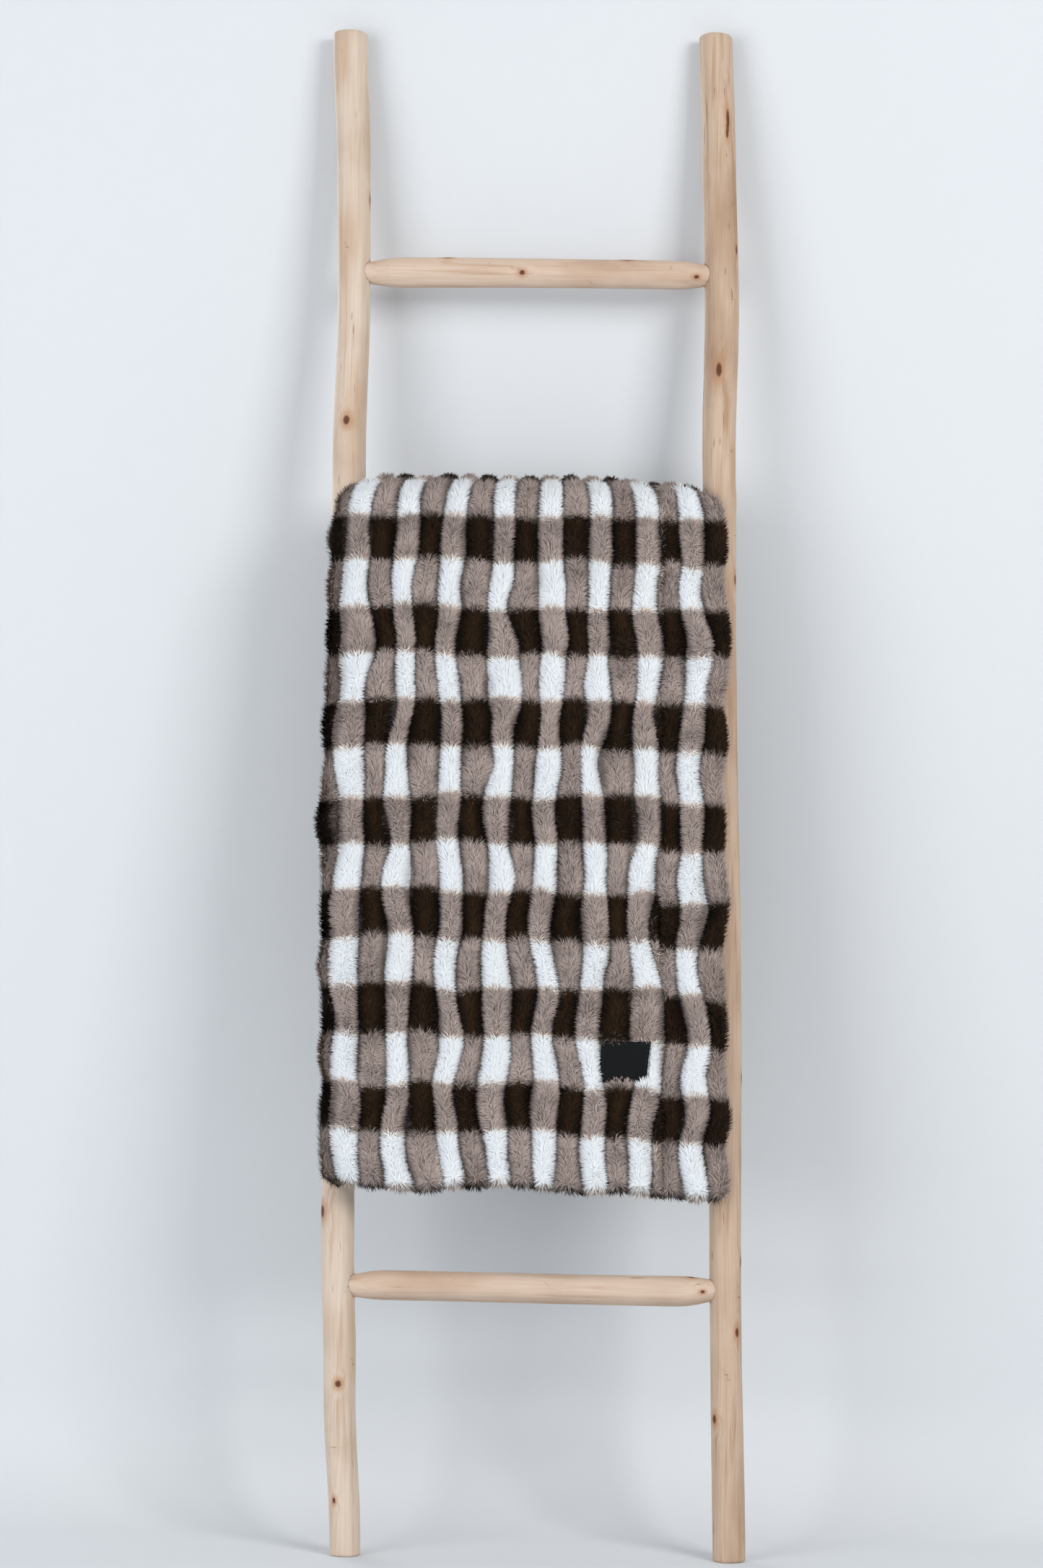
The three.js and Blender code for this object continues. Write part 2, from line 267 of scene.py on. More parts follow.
def makeGrainGroup():
    # long fibres along Z of the vector, with streaks, flecks and knots
    tree, entry, leave = startGroup(
        "poleGrain",
        dict(
            Vector=("Vector", None),
            Knot=("Vector", None),
            Pale=("Color", tint(226, 201, 174)),
            Tan=("Color", tint(196, 160, 124)),
            Heart=("Color", tint(96, 56, 34)),
            Streaks=("Float", 0.5),
            Flecks=("Float", 0.5),
        ),
        dict(Colour="Color", Roughness="Float", Height="Float"),
    )
    knotReach = vectorMath(tree, "LENGTH", {0: entry["Knot"]})["Value"]
    swirl = spread(tree, knotReach, 0.6, 4.5, 1.0, 0.0)
    bend = stretched(tree, entry["Knot"], (0.0022, 0.0022, 0.0))
    pushed = vectorMath(tree, "SCALE", {0: bend, "Scale": swirl})[0]
    place = vectorMath(tree, "SUBTRACT", {0: entry["Vector"], 1: pushed})[0]
    fibre = noise(tree, stretched(tree, place, (1.0, 1.0, 0.022)), 620.0, 3.0, 0.6)
    streak = noise(tree, stretched(tree, place, (1.0, 1.0, 0.045)), 135.0, 3.0, 0.55, 0.4)
    patch = noise(tree, stretched(tree, place, (1.0, 1.0, 0.3)), 22.0, 2.0)
    fleck = noise(tree, stretched(tree, place, (1.0, 1.0, 0.1)), 260.0, 1.0)
    streakMask = calc(tree, "MULTIPLY", spread(tree, streak, 0.5, 0.78), entry["Streaks"])
    patchMask = spread(tree, patch, 0.42, 0.72, 0.0, 0.55)
    colour = mixColour(tree, patchMask, entry["Pale"], entry["Tan"])
    colour = mixColour(tree, streakMask, colour, entry["Tan"])
    colour = mixColour(tree, spread(tree, fibre, 0.35, 0.75, 0.0, 0.34), colour, entry["Tan"])
    fleckMask = calc(tree, "MULTIPLY", spread(tree, fleck, 0.73, 0.8), entry["Flecks"])
    colour = mixColour(tree, fleckMask, colour, entry["Heart"])
    halo = spread(tree, knotReach, 0.9, 2.6, 0.62, 0.0)
    colour = mixColour(tree, halo, colour, tint(178, 128, 88))
    rough = calc(tree, "MULTIPLY_ADD", fibre, 0.5, -0.25)
    core = spread(tree, calc(tree, "ADD", knotReach, rough), 0.55, 1.05, 1.0, 0.0)
    colour = mixColour(tree, core, colour, entry["Heart"])
    ridge = calc(tree, "MULTIPLY_ADD", streak, 0.5, calc(tree, "MULTIPLY", fibre, 0.6))
    height = calc(tree, "SUBTRACT", ridge, calc(tree, "MULTIPLY", core, 0.7))
    shine = calc(tree, "MULTIPLY_ADD", fibre, 0.22, 0.44)
    plug(tree, leave["Colour"], colour)
    plug(tree, leave["Roughness"], shine)
    plug(tree, leave["Height"], height)
    return tree


def makeWearGroup():
    # soft grime and handling marks, as a mask
    tree, entry, leave = startGroup(
        "handlingWear",
        dict(Vector=("Vector", None), Size=("Float", 9.0), Amount=("Float", 0.3)),
        dict(Mask="Float"),
    )
    cloud = noise(tree, entry["Vector"], entry["Size"], 4.0, 0.6)
    plug(tree, leave["Mask"], calc(tree, "MULTIPLY", spread(tree, cloud, 0.48, 0.75), entry["Amount"]))
    return tree


def makeCheckGroup():
    # x counts columns and y counts rows: even rows alternate taupe and white, odd rows dark and taupe
    tree, entry, leave = startGroup(
        "furCheck",
        dict(
            Vector=("Vector", None),
            White=("Color", tint(243, 247, 250)),
            Taupe=("Color", tint(182, 166, 159)),
            Dark=("Color", tint(31, 22, 14)),
            Cream=("Color", tint(232, 212, 194)),
            Softness=("Float", 0.16),
        ),
        dict(Colour="Color", White="Float", Dark="Float"),
    )
    split = put(tree, "ShaderNodeSeparateXYZ", {0: entry["Vector"]})
    column = calc(tree, "PINGPONG", calc(tree, "ADD", split.outputs["X"], 99.5), 1.0)
    row = calc(tree, "PINGPONG", calc(tree, "ADD", split.outputs["Y"], 99.5), 1.0)
    softHalf = calc(tree, "MULTIPLY", entry["Softness"], 0.5)
    low = calc(tree, "SUBTRACT", 0.5, softHalf)
    high = calc(tree, "ADD", 0.5, softHalf)
    oddColumn = spread(tree, column, low, high)
    oddRow = spread(tree, row, 0.43, 0.57)
    evenRow = calc(tree, "SUBTRACT", 1.0, oddRow)
    white = calc(tree, "MULTIPLY", oddColumn, evenRow)
    dark = calc(tree, "MULTIPLY", calc(tree, "SUBTRACT", 1.0, oddColumn), oddRow)
    colour = mixColour(tree, spread(tree, white, 0.0, 0.55), entry["Taupe"], entry["Cream"])
    colour = mixColour(tree, spread(tree, white, 0.4, 0.95), colour, entry["White"])
    colour = mixColour(tree, dark, colour, entry["Dark"])
    plug(tree, leave["Colour"], colour)
    plug(tree, leave["White"], white)
    plug(tree, leave["Dark"], dark)
    return tree


def makeWeaveGroup():
    # plain weave of warp and weft, one thread for each unit of x and y
    tree, entry, leave = startGroup(
        "plainWeave",
        dict(
            Vector=("Vector", None),
            Thread=("Color", (0.5, 0.5, 0.5, 1)),
            Gap=("Color", (0.1, 0.1, 0.1, 1)),
        ),
        dict(Colour="Color", Height="Float"),
    )
    split = put(tree, "ShaderNodeSeparateXYZ", {0: entry["Vector"]})
    across = calc(tree, "SINE", calc(tree, "MULTIPLY", split.outputs["X"], math.pi))
    along = calc(tree, "SINE", calc(tree, "MULTIPLY", split.outputs["Y"], math.pi))
    over = calc(tree, "MULTIPLY", across, along)
    height = spread(tree, calc(tree, "ABSOLUTE", over), 0.0, 0.8)
    fuzz = noise(tree, entry["Vector"], 0.9, 2.0)
    colour = mixColour(tree, height, entry["Gap"], entry["Thread"])
    colour = mixColour(tree, spread(tree, fuzz, 0.3, 0.8, 0.0, 0.35), colour, entry["Gap"])
    plug(tree, leave["Colour"], colour)
    plug(tree, leave["Height"], height)
    return tree


grainGroup = makeGrainGroup()
wearGroup = makeWearGroup()
checkGroup = makeCheckGroup()
weaveGroup = makeWeaveGroup()


farFromKnots = 50.0          # in knot sizes: no knot shows


def makeWoodMaterial(name, turn, pale, tan, streaks, flecks, bump, knots=True):
    # turn brings the grain of the piece onto Z; a piece without a map of knots has none
    material, tree, shader = startMaterial(name)
    where = put(tree, "ShaderNodeTexCoord").outputs["Object"]
    turned = put(tree, "ShaderNodeMapping", {"Vector": where, "Rotation": turn}).outputs[0]
    knot = uvMap(tree, "knot") if knots else (farFromKnots, farFromKnots, 0.0)
    grain = useGroup(
        tree,
        grainGroup,
        dict(Vector=turned, Knot=knot, Pale=pale, Tan=tan, Streaks=streaks, Flecks=flecks),
    )
    wear = useGroup(tree, wearGroup, dict(Vector=turned, Size=7.0, Amount=0.35))
    soiled = mixColour(tree, 1.0, grain["Colour"], tint(214, 200, 186), "MULTIPLY")
    plug(tree, shader.inputs["Base Color"], mixColour(tree, wear["Mask"], grain["Colour"], soiled))
    rough = calc(tree, "MULTIPLY_ADD", wear["Mask"], 0.25, grain["Roughness"])
    plug(tree, shader.inputs["Roughness"], rough)
    addRelief(tree, shader, grain["Height"], bump, 0.0012)
    shader.inputs["Specular IOR Level"].default_value = 0.32
    return material


poleTurn = (lean, 0, 0)
railWood = {
    -1: makeWoodMaterial("leftPoleWood", poleTurn, tint(211, 194, 177), tint(184, 152, 125), 0.8, 0.5, 0.5),
    1: makeWoodMaterial("rightPoleWood", poleTurn, tint(198, 174, 152), tint(158, 124, 95), 0.95, 0.6, 0.5),
}
rungWood = makeWoodMaterial(
    "rungWood", (0, -math.pi / 2, 0), tint(210, 188, 169), tint(181, 147, 120), 0.75, 0.4, 0.5
)
pegTurn = (math.pi / 2, 0, 0)
pegWood = makeWoodMaterial(
    "pegWood", pegTurn, tint(196, 166, 136), tint(150, 112, 82), 0.8, 0.7, 0.6, knots=False
)


furSoftness = 0.26           # of the edges between columns


def makeFurMaterial():
    material, tree, shader = startMaterial("plushFur")
    cloth = uvMap(tree, "cloth")
    check = useGroup(tree, checkGroup, dict(Vector=cloth, Softness=furSoftness))
    fibre = put(tree, "ShaderNodeSeparateXYZ", {0: uvMap(tree, "fibre")})
    along = fibre.outputs["X"]
    chance = fibre.outputs["Y"]
    notWhite = calc(tree, "SUBTRACT", 1.0, check["White"])
    # painted shade: each strand darkens towards its root, deep in the pile; white strands are lifted most
    # of the way back
    paintedRootDarkening = spread(tree, along, 0.0, 0.75, 0.55, 1.0, False)
    lifted = spread(tree, check["White"], 0.0, 1.0, 0.0, 0.85)
    rootLift = calc(tree, "MULTIPLY", calc(tree, "SUBTRACT", 1.0, paintedRootDarkening), lifted)
    rootShade = calc(tree, "ADD", paintedRootDarkening, rootLift)
    strandShade = spread(tree, chance, 0.0, 1.0, 0.56, 1.28, False)
    strandShade = mixColour(tree, check["White"], strandShade, (1, 1, 1, 1))
    # painted shade: colour darkens where a strand's root or tip lies over the groove between ribs, less on
    # white
    crown = put(tree, "ShaderNodeSeparateXYZ", {0: uvMap(tree, "depth")}).outputs["X"]
    groove = calc(tree, "SUBTRACT", 1.0, spread(tree, crown, 0.0, 0.5))
    paintedGrooveShade = calc(tree, "MULTIPLY_ADD", groove, -0.68, 1.0)
    paintedGrooveShade = mixColour(tree, calc(tree, "MULTIPLY", check["White"], 0.6), paintedGrooveShade, (1, 1, 1, 1))
    # random tone of each strand, times the painted root shade and the painted groove shade
    shade = calc(tree, "MULTIPLY", calc(tree, "MULTIPLY", rootShade, strandShade), paintedGrooveShade)
    speckle = calc(tree, "MULTIPLY", spread(tree, chance, 0.1, 0.13, 0.5, 0.0), notWhite)
    toned = mixColour(tree, 1.0, check["Colour"], shade, "MULTIPLY")
    # painted highlight: dark brown strands on rib crowns are lightened towards a lit brown
    lit = calc(tree, "MULTIPLY", spread(tree, crown, 0.3, 1.0), chance)
    paintedCrownHighlight = calc(tree, "MULTIPLY", check["Dark"], lit)
    toned = mixColour(tree, calc(tree, "MULTIPLY", paintedCrownHighlight, 0.5), toned, tint(76, 56, 37))
    plug(tree, shader.inputs["Base Color"], mixColour(tree, speckle, toned, tint(70, 55, 45)))
    shader.inputs["Roughness"].default_value = 0.85
    shader.inputs["Specular IOR Level"].default_value = 0.06
    return material


def makeBackingMaterial():
    # the knit that the pile stands in: seen only between strands and on its plain side
    material, tree, shader = startMaterial("plushBacking")
    cloth = uvMap(tree, "cloth")
    check = useGroup(tree, checkGroup, dict(Vector=cloth, Softness=furSoftness))
    threads = stretched(tree, cloth, (29.0, 55.0, 1.0))
    # the knit's own colours, darkened with painted shade for where its plain side shows at the top layer's
    # free edge
    knitColoursAndShade = dict(Vector=threads, Thread=tint(132, 118, 108), Gap=tint(92, 80, 71))
    knit = useGroup(tree, weaveGroup, knitColoursAndShade)
    fibre = put(tree, "ShaderNodeSeparateXYZ", {0: uvMap(tree, "fibre")})
    # painted shade: the backing is darkened where it lies under the pile, most in the grooves between ribs,
    # least under white
    crown = put(tree, "ShaderNodeSeparateXYZ", {0: uvMap(tree, "depth")}).outputs["X"]
    paintedPileShade = mixColour(tree, check["White"], tint(190, 184, 178), tint(240, 238, 236))
    paintedPileShade = mixColour(tree, spread(tree, crown, 0.02, 0.4), tint(120, 112, 106), paintedPileShade)
    backingWithShade = mixColour(tree, 1.0, check["Colour"], paintedPileShade, "MULTIPLY")
    plug(tree, shader.inputs["Base Color"], mixColour(tree, fibre.outputs["Y"], backingWithShade, knit["Colour"]))
    addRelief(tree, shader, knit["Height"], 0.4, 0.0005)
    shader.inputs["Roughness"].default_value = 0.9
    shader.inputs["Specular IOR Level"].default_value = 0.15
    return material


def makeThreadMaterial(name, thread, gap, sheen):
    material, tree, shader = startMaterial(name)
    cloth = useGroup(tree, weaveGroup, dict(Vector=uvMap(tree, "weave"), Thread=thread, Gap=gap))
    plug(tree, shader.inputs["Base Color"], cloth["Colour"])
    plug(tree, shader.inputs["Roughness"], spread(tree, cloth["Height"], 0.0, 1.0, 0.8, 0.5))
    addRelief(tree, shader, cloth["Height"], 0.5, 0.0003)
    shader.inputs["Sheen Weight"].default_value = sheen
    shader.inputs["Specular IOR Level"].default_value = 0.2
    return material


furMaterial = makeFurMaterial()
backingMaterial = makeBackingMaterial()
labelMaterial = makeThreadMaterial("labelCloth", tint(7, 10, 13), tint(2, 3, 4), 0.0)
threadMaterial = makeThreadMaterial("labelThread", tint(40, 46, 56), tint(16, 18, 22), 0.03)
print("materials ready")


poleSides = 64
ringStep = 6.0
knotRoundPole = 20.0         # radius used to lay out knots and shave marks
knotRoundRung = 17.0


def rungHeight(rung):
    return ladder["lowestRung"] + ladder["pitch"] * (5 - rung)


def railRadius(height):
    share = height / ladder["railLength"]
    return ladder["footRadius"] + (ladder["topRadius"] - ladder["footRadius"]) * share


def railCentre(side, height):
    at, stray = railBends[side]
    height = np.asarray(height, float)
    share = height / ladder["railLength"]
    following = np.clip(np.searchsorted(at, share), 1, len(at) - 1)
    starts, ends = np.take(at, following - 1), np.take(at, following)
    run = np.clip((share - starts) / (ends - starts), 0.0, 1.0)
    eased = run ** 3 * (run * (run * 6 - 15) + 10)
    bend = np.take(stray, following - 1) * (1 - eased) + np.take(stray, following) * eased
    drift = (ladder["railLength"] / 2 - height) * math.tan(ladder["skew"])
    return side * ladder["spacing"] / 2 + drift + bend


def railFace(side, height):
    return float(railCentre(side, height)) - side * railRadius(height)


def shavedRadius(radius, height, angle, phase):
    coarse = 0.6 * np.cos(5 * angle + phase)
    fine = 0.4 * np.cos(3 * angle - height / 160 + phase)
    swell = ladder["swell"] * np.sin(height / 118 + phase * 1.7)
    return radius + ladder["facet"] * (coarse + fine) + swell


def toRoom(x, y, z):
    # from the ladder's own frame, along and square to its poles, into the part's frame
    x, y, z = np.broadcast_arrays(x, y, z)
    turnedY = y * math.cos(lean) + z * math.sin(lean) + ladder["footY"]
    turnedZ = -y * math.sin(lean) + z * math.cos(lean)
    return np.stack([x + ladder["footX"], turnedY, turnedZ], -1)


def capRows(start, end, step, roundings):
    # stations along a bar with closely spaced ones at its rounded ends, and how far each is inset
    inner = np.arange(start + 6, end - 6, step)
    far = roundings[::-1]
    run = [start + along for along, _ in roundings] + list(inner) + [end - along for along, _ in far]
    inset = [cut for _, cut in roundings] + [0.0] * len(inner) + [cut for _, cut in far]
    return np.array(run), np.array(inset)


def shaveMarks(around, height, seed):
    # long shallow knife cuts and a little tool chatter
    cuts = ripple(around / 7.0, height / 95.0, seed)
    chatter = ripple(around / 3.5, height / 22.0, seed + 3)
    return 0.32 * np.round(cuts * 2.2) / 2.2 * np.abs(cuts) + 0.1 * chatter


def knotMap(around, height, radius, knots):
    # place of each point relative to its nearest knot, in knot sizes
    best = np.full(around.shape, 1e9)
    across = np.full(around.shape, farFromKnots)
    along = np.full(around.shape, farFromKnots)
    for knotHeight, degrees, size, stretch in knots:
        turn = (around - math.radians(degrees) + math.pi) % (2 * math.pi) - math.pi
        sideways = turn * radius / size
        lengthways = (height - knotHeight) / (size * stretch)
        reach = sideways ** 2 + lengthways ** 2
        near = reach < best
        best = np.where(near, reach, best)
        across = np.where(near, sideways, across)
        along = np.where(near, lengthways, along)
    return np.stack([across, along], -1), np.sqrt(best)


def closedBar(name, rows, material, knotPairs):
    # rows: stations x sides x 3, closed with a fan at each end
    stations, sides, _ = rows.shape
    middles = np.stack([rows[0].mean(0), rows[-1].mean(0)])
    points = np.concatenate([rows.reshape(-1, 3), middles])
    walls = gridFaces(stations, sides, closed=True)
    around = np.arange(sides)
    after = (around + 1) % sides
    foot = np.stack([np.full(sides, stations * sides), after, around], -1)
    last = (stations - 1) * sides
    head = np.stack([np.full(sides, stations * sides + 1), last + around, last + after], -1)
    piece = buildMesh(name, points, [walls, foot, head], material)
    pairs = np.concatenate([knotPairs.reshape(-1, 2), np.full((2, 2), farFromKnots)])
    addMap(piece, "knot", pairs)
    return piece


def cutHoles(piece, bars):
    # bars: (middle, direction, radius, length) in the ladder's own frame
    pieces = []
    sides = 40
    for middle, direction, radius, length in bars:
        axis = np.array(direction, float)
        other = np.array((0.0, 0.0, 1.0))
        first = np.cross(axis, other)
        first = first / np.linalg.norm(first)
        second = np.cross(axis, first)
        turn = np.arange(sides) / sides * 2 * math.pi
        ring = radius * (np.cos(turn)[:, None] * first + np.sin(turn)[:, None] * second)
        ends = [np.array(middle) + axis * length * share + ring for share in (-0.5, 0.5)]
        rows = np.stack([toRoom(*end.T) for end in ends])
        noKnots = np.full((2, sides, 2), farFromKnots)
        pieces.append(closedBar("cutter", rows, piece.data.materials[0], noKnots))
    for cutter in pieces:
        modifier = piece.modifiers.new("hole", "BOOLEAN")
        modifier.object = cutter
        modifier.operation = "DIFFERENCE"
        modifier.solver = "EXACT"
    bpy.context.view_layer.update()
    shaped = piece.evaluated_get(bpy.context.evaluated_depsgraph_get())
    mesh = bpy.data.meshes.new_from_object(shaped)
    piece.modifiers.clear()
    piece.data = mesh
    for cutter in pieces:
        bpy.data.objects.remove(cutter)


# each knot: height along the pole, turn in degrees, size, how much longer than wide
railKnots = {
    -1: [
        (1343, 188, 4.6, 1.5), (396, 238, 5.2, 1.7), (196, 181, 4.4, 1.1), (62, 215, 2.6, 1.6),
        (905, 150, 3.0, 1.6), (1620, 95, 3.8, 1.8), (1500, 320, 4.2, 1.5), (700, 20, 4.8, 1.6),
        (250, 60, 4.0, 1.5), (1130, 350, 3.6, 1.4), (1050, 262, 3.2, 1.7), (1740, 352, 3.0, 1.8),
    ],
    1: [
        (1722, 148, 2.6, 5.5), (1704, 152, 2.0, 4.0), (1409, 188, 4.0, 2.6), (1155, 118, 3.0, 2.6),
        (1560, 122, 2.4, 3.0), (162, 232, 4.0, 1.6), (262, 140, 3.0, 2.2), (1250, 95, 3.2, 2.0),
        (820, 30, 4.6, 1.5), (480, 300, 4.2, 1.6), (1640, 10, 3.8, 1.5), (560, 100, 3.2, 2.0),
        (1020, 345, 3.8, 1.6), (345, 112, 2.6, 2.8),
    ],
}


def makeRail(side, name):
    roundings = [(0.0, 2.4), (0.5, 1.3), (1.3, 0.5), (2.6, 0.0)]
    height, inset = capRows(0.0, ladder["railLength"], ringStep, roundings)
    around = np.arange(poleSides) / poleSides * 2 * math.pi
    h, a = np.meshgrid(height, around, indexing="ij")
    pairs, reach = knotMap(a, h, knotRoundPole, railKnots[side])
    radius = shavedRadius(railRadius(h), h, a, side) - inset[:, None]
    radius = radius + shaveMarks(a * knotRoundPole, h, 11 + side) * ease(0, 25, h)
    radius = radius + 0.9 * np.exp(-(reach / 1.9) ** 2) - 0.8 * np.exp(-(reach / 0.7) ** 2)
    y = radius * np.cos(a)
    level = 1 - ease(0, 60, h)
    points = toRoom(railCentre(side, h) + radius * np.sin(a), y, h + y * math.tan(lean) * level)
    points[..., 1] = np.minimum(points[..., 1], ladder["wallFace"])
    rail = closedBar(name, points[:, ::-1], railWood[side], pairs[:, ::-1])
    holes = []
    overcut = 12.0           # of a mortise cutter past the pole's surface
    for rung in range(1, 6):
        at = rungHeight(rung)
        depth = ladder["tenonDepth"] + ladder["mortiseBottomGap"]
        inner = railFace(side, at)
        middle = (inner + side * (depth - overcut) / 2, 0.0, at)
        bore = ladder["tenonRadius"] + ladder["mortisePlay"]
        holes.append((middle, (1, 0, 0), bore, depth + overcut))
        holes.append(pegHole(side, at))
    cutHoles(rail, holes)
    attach(rail, "ladder")
    return rail


def pegHole(side, at):
    back = railRadius(at) + 6.0
    front = -railRadius(at) + ladder["pegFrontWall"] - ladder["mortisePlay"]
    middle = (float(railCentre(side, at)), (back + front) / 2, at)
    return middle, (0, 1, 0), ladder["pegRadius"] + ladder["mortisePlay"], back - front


rungKnots = {
    1: [
        (-114, 335, 4.0, 1.3), (-24, 258, 3.4, 1.2), (102, 338, 4.0, 1.5), (186, 250, 3.0, 1.2),
        (20, 100, 4.0, 1.4),
    ],
    2: [(-90, 70, 3.6, 1.4), (60, 130, 4.0, 1.4)],
    3: [(-140, 60, 3.6, 1.3), (30, 100, 3.8, 1.5), (120, 250, 3.4, 1.4)],
    4: [(-60, 110, 3.8, 1.4), (90, 50, 3.6, 1.3), (-120, 250, 3.4, 1.4)],
    5: [
        (192, 340, 3.2, 1.4), (-30, 150, 3.4, 1.4), (205, 262, 2.6, 1.2), (-150, 80, 3.6, 1.5),
        (70, 60, 3.4, 1.3),
    ],
}


def makeRung(rung, name):
    at = rungHeight(rung)
    depth = ladder["tenonDepth"]
    start = railFace(-1, at) - depth
    end = railFace(1, at) + depth
    x, inset = capRows(start, end, 3.0, [(0.0, 1.5), (0.5, 0.7), (1.5, 0.0)])
    around = np.arange(48) / 48 * 2 * math.pi
    along, a = np.meshgrid(x, around, indexing="ij")
    inward = np.minimum(along - start, end - along) - depth
    fullness = np.sin(math.pi / 2 * np.clip(inward / ladder["taper"], 0, 1))
    shaved = shavedRadius(ladder["rungRadius"], along, a, rung * 2.1)
    pairs, reach = knotMap(a, along, knotRoundRung, rungKnots[rung])
    radius = ladder["tenonRadius"] * (1 - fullness) + shaved * fullness - inset[:, None]
    radius = radius + fullness * shaveMarks(a * knotRoundRung, along, 20 + rung)
    radius = radius + fullness * (0.7 * np.exp(-(reach / 1.8) ** 2) - 0.7 * np.exp(-(reach / 0.7) ** 2))
    sag = ladder["sag"] * fullness * np.sin(rung * 1.9 + along / 150)
    points = toRoom(along, radius * np.sin(a), at + sag + radius * np.cos(a))
    piece = closedBar(name, points, rungWood, pairs)
    cutHoles(piece, [pegHole(-1, at), pegHole(1, at)])
    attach(piece, "ladder")
    return piece


rails = {-1: makeRail(-1, "leftPole"), 1: makeRail(1, "rightPole")}
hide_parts("left_rail")
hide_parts("right_rail")
for rung in range(1, 6):
    made = makeRung(rung, f"roundRung{rung}")
    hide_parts(f"rung_{rung}")
for nodeName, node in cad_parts.items():
    if nodeName.startswith("peg_"):
        for materialSlot in node.material_slots:
            materialSlot.material = pegWood
print("ladder ready:", sum(len(rail.data.polygons) for rail in rails.values()), "pole faces")


# one cloth, folded in three across its width and hung over the second rung
throw = dict(
    middle=-5.8,
    leftReach=226.0,
    rightReach=219.0,
    freeEdge=159.0,          # of the top layer, right of the middle
    leftTurn=12.0,           # radius of the outer fold
    rightTurn=6.0,
    backSlack=1.125,          # cloth taken up by small folds in the hidden layers
    innerSlack=1.04,
    width=1270.0,
    frontLength=860.0,
    backLength=664.0,
    thickness=3.0,
    rungClear=20.55,         # from the rung's middle to the innermost layer
    hang=23.6,               # from the ladder's plane, once past the rung
    press=0.68,              # how much the layers are pressed together on the rung
    saddleWidth=0.865,
    backWidth=0.82,          # drawn in to pass between the poles
    frontCorner=1.0,         # how far the hem lifts at the corners
    backCorner=8.0,
    hemWave=3.5,
    hemRipple=2.0,
    innerShort=9.0,          # the hidden layers end this much higher
    rowWander=5.5,
    billow=2.4,
    stray=8.0,               # slow wander of the columns
    strayFine=4.4,           # and the quicker wander that makes blocks wide and narrow
    edgeStray=4.5,
)
pile = dict(
    puff=11.0,
    rib=28.5,
    ribShift=21.0,
    row=56.45,
    firstRow=9.0,
    crestShift=9.5,
    strand=9.5,
    rootWidth=1.5,
)
rungMiddle = toRoom(0.0, 0.0, rungHeight(2))
frontArc = math.radians(81.0)
backArc = math.radians(90.0)
runFront = throw["freeEdge"] + throw["leftReach"] - throw["leftTurn"]
leftAxis = throw["leftTurn"] - throw["leftReach"]
rightAxis = throw["rightReach"] - throw["rightTurn"]
turnLeft = math.pi * throw["leftTurn"]
turnRight = math.pi * throw["rightTurn"]
folds = np.cumsum([runFront, turnLeft, (rightAxis - leftAxis) * throw["backSlack"], turnRight])
topLayer = 30.0              # middle of the top layer, from the innermost face of the fold
backLayer = topLayer - 2 * throw["leftTurn"]
innerLayer = backLayer + 2 * throw["rightTurn"]


def foldLine(u):
    # across the fold from the top layer's free edge: place, height in the bundle, way the pile faces
    turned = np.clip((u - folds[0]) / throw["leftTurn"], 0, math.pi)
    returned = np.clip((u - folds[2]) / throw["rightTurn"], 0, math.pi)
    parts = [u < folds[0], u < folds[1], u < folds[2], u < folds[3]]
    x = np.select(
        parts,
        [
            throw["freeEdge"] - u,
            leftAxis - throw["leftTurn"] * np.sin(turned),
            leftAxis + (u - folds[1]) / throw["backSlack"],
            rightAxis + throw["rightTurn"] * np.sin(returned),
        ],
        rightAxis - (u - folds[3]) / throw["innerSlack"],
    )
    w = np.select(
        parts,
        [
            topLayer - 5.0 * (1 - ease(0, 50, u)),
            (topLayer + backLayer) / 2 + throw["leftTurn"] * np.cos(turned),
            np.full_like(u, backLayer),
            (backLayer + innerLayer) / 2 - throw["rightTurn"] * np.cos(returned),
        ],
        innerLayer + 4.0 * ease(146, 166, x) * ease(rightAxis, rightAxis - 14, x),
    )
    acrossPile = np.select(parts, [0 * u, -np.sin(turned), 0 * u, np.sin(returned)], 0 * u)
    outPile = np.select(parts, [0 * u + 1, np.cos(turned), 0 * u - 1, -np.cos(returned)], 0 * u + 1)
    return x, w, acrossPile, outPile


